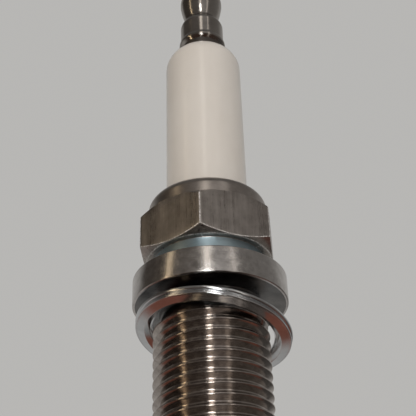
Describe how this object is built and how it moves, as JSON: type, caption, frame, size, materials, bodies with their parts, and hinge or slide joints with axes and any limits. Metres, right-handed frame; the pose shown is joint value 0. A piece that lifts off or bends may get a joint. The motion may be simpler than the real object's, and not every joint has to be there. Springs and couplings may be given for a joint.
{
  "type": "spark plug",
  "caption": "Gasket-seat spark plug with a metric threaded shell, wrench hexagon, smooth glazed insulator, screw-off terminal nut and a loose captive crush gasket.",
  "frame": {"origin": "centre of the seat plane, the flat underside of the shell's collar, on the thread axis", "axes": "+Z along the plug axis towards the terminal; -Y is the front; +X is the side where the ground electrode stands"},
  "size_m": [0.019, 0.0188, 0.0766],
  "materials": {
    "nickel_plate": "nickel plated steel, satin, darkened",
    "glazed_alumina": "clear glaze over off-white alumina",
    "zinc_plate": "bright zinc plated sheet steel",
    "terminal_steel": "bright nickel plated steel",
    "electrode_nickel": "drawn nickel alloy",
    "copper": "copper",
    "precious_metal": "ground precious metal",
    "seal_glass": "copper-filled conductive glass",
    "resistor_mix": "fired carbon and glass mix",
    "packing_steel": "soft steel",
    "talc": "pressed talc powder"
  },
  "bodies": {
    "plug_body": {"metal_shell": "nickel_plate", "insulator": "glazed_alumina", "seat_packing": "packing_steel", "lower_crimp_ring": "packing_steel", "talc_ring": "talc", "upper_crimp_ring": "packing_steel", "centre_electrode": "electrode_nickel", "centre_electrode_core": "copper", "centre_electrode_tip": "precious_metal", "lower_glass_seal": "seal_glass", "resistor": "resistor_mix", "upper_glass_seal": "seal_glass", "terminal_stud": "terminal_steel", "ground_electrode": "electrode_nickel", "ground_electrode_pad": "precious_metal"},
    "terminal_nut": {"terminal_nut": "terminal_steel"},
    "gasket": {"sealing_gasket": "zinc_plate"}
  },
  "joints": [
    {"name": "terminal_nut_unscrew", "type": "slide", "parent": "plug_body", "child": "terminal_nut", "axis": [0, 0, 1], "range_m": [0, 0.0075]},
    {"name": "gasket_slide", "type": "slide", "parent": "plug_body", "child": "gasket", "axis": [0, 0, 1], "range_m": [0, 0.0009]}
  ]
}
